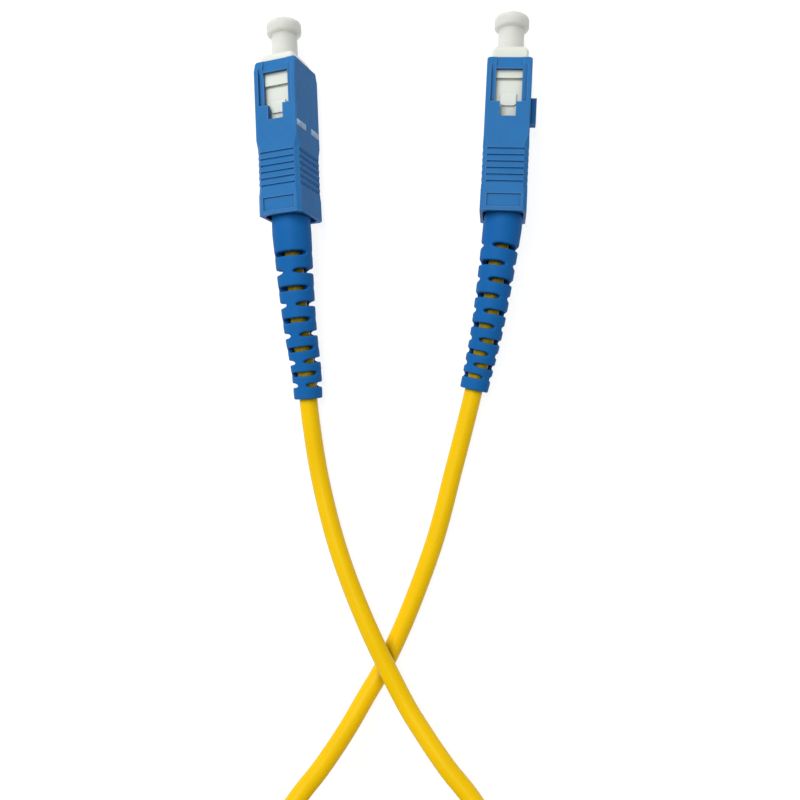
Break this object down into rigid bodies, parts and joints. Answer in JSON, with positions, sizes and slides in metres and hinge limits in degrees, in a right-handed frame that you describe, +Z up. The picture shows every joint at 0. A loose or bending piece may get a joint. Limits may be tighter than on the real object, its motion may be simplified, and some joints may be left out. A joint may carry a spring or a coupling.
{
  "type": "fiber optic patch cord",
  "caption": "Simplex fiber optic patch cord with a thin yellow jacket, square push-pull plugs with sliding blue grips, slotted boots and dust caps.",
  "frame": {"origin": "on the floor under the middle of the two connectors, measured without the cord and its ties", "axes": "+Z up, +Y from the coil towards the connector tips, +X to the right seen from above"},
  "size_m": [0.0494, 0.1827, 0.0159],
  "materials": {
    "connector_blue": "satin moulded plastic",
    "boot_blue": "soft moulded rubber",
    "plug_white": "satin moulded plastic",
    "cap_translucent": "translucent soft plastic",
    "ferrule_ceramic": "polished ceramic",
    "steel": "bright",
    "stop_ring_brass": "nickel plated",
    "crimp_nickel": "plated",
    "aramid_yellow": "yarn",
    "buffer_white": "matte",
    "jacket_yellow": "satin extruded plastic",
    "tie_black": "hook and loop strap"
  },
  "bodies": {
    "cable": {"cord_strand_a": "jacket_yellow", "cord_strand_b": "jacket_yellow", "cord_coil": "jacket_yellow", "coil_tie_left": "tie_black", "coil_tie_right": "tie_black", "boot_a": "boot_blue", "plug_frame_a": "plug_white", "stop_ring_a": "stop_ring_brass", "crimp_ring_a": "crimp_nickel", "aramid_yarn_a": "aramid_yellow", "ferrule_spring_a": "steel", "boot_b": "boot_blue", "plug_frame_b": "plug_white", "stop_ring_b": "stop_ring_brass", "crimp_ring_b": "crimp_nickel", "aramid_yarn_b": "aramid_yellow", "ferrule_spring_b": "steel"},
    "grip_a": {"grip_housing_a": "connector_blue"},
    "ferrule_unit_a": {"ferrule_a": "ferrule_ceramic", "ferrule_flange_a": "steel", "buffered_fiber_a": "buffer_white"},
    "cap_a": {"dust_cap_a": "cap_translucent"},
    "grip_b": {"grip_housing_b": "connector_blue"},
    "ferrule_unit_b": {"ferrule_b": "ferrule_ceramic", "ferrule_flange_b": "steel", "buffered_fiber_b": "buffer_white"},
    "cap_b": {"dust_cap_b": "cap_translucent"}
  },
  "joints": [
    {"name": "grip_slide_a", "type": "slide", "parent": "cable", "child": "grip_a", "axis": [-0.0454, 0.999, 0], "range_m": [-0.00155, 0.00015]},
    {"name": "ferrule_float_a", "type": "slide", "parent": "cable", "child": "ferrule_unit_a", "axis": [-0.0454, 0.999, 0], "range_m": [-0.001, 0], "stiffness_N_per_m": 800, "springref_m": 0.002, "deforming": ["ferrule_spring_a"]},
    {"name": "cap_pull_a", "type": "slide", "parent": "ferrule_unit_a", "child": "cap_a", "axis": [-0.0454, 0.999, 0], "range_m": [0, 0.016]},
    {"name": "grip_slide_b", "type": "slide", "parent": "cable", "child": "grip_b", "axis": [0.0534, 0.9986, 0], "range_m": [-0.0008, 0.0009]},
    {"name": "ferrule_float_b", "type": "slide", "parent": "cable", "child": "ferrule_unit_b", "axis": [0.0534, 0.9986, 0], "range_m": [-0.001, 0], "stiffness_N_per_m": 800, "springref_m": 0.002, "deforming": ["ferrule_spring_b"]},
    {"name": "cap_pull_b", "type": "slide", "parent": "ferrule_unit_b", "child": "cap_b", "axis": [0.0534, 0.9986, 0], "range_m": [0, 0.016]}
  ]
}
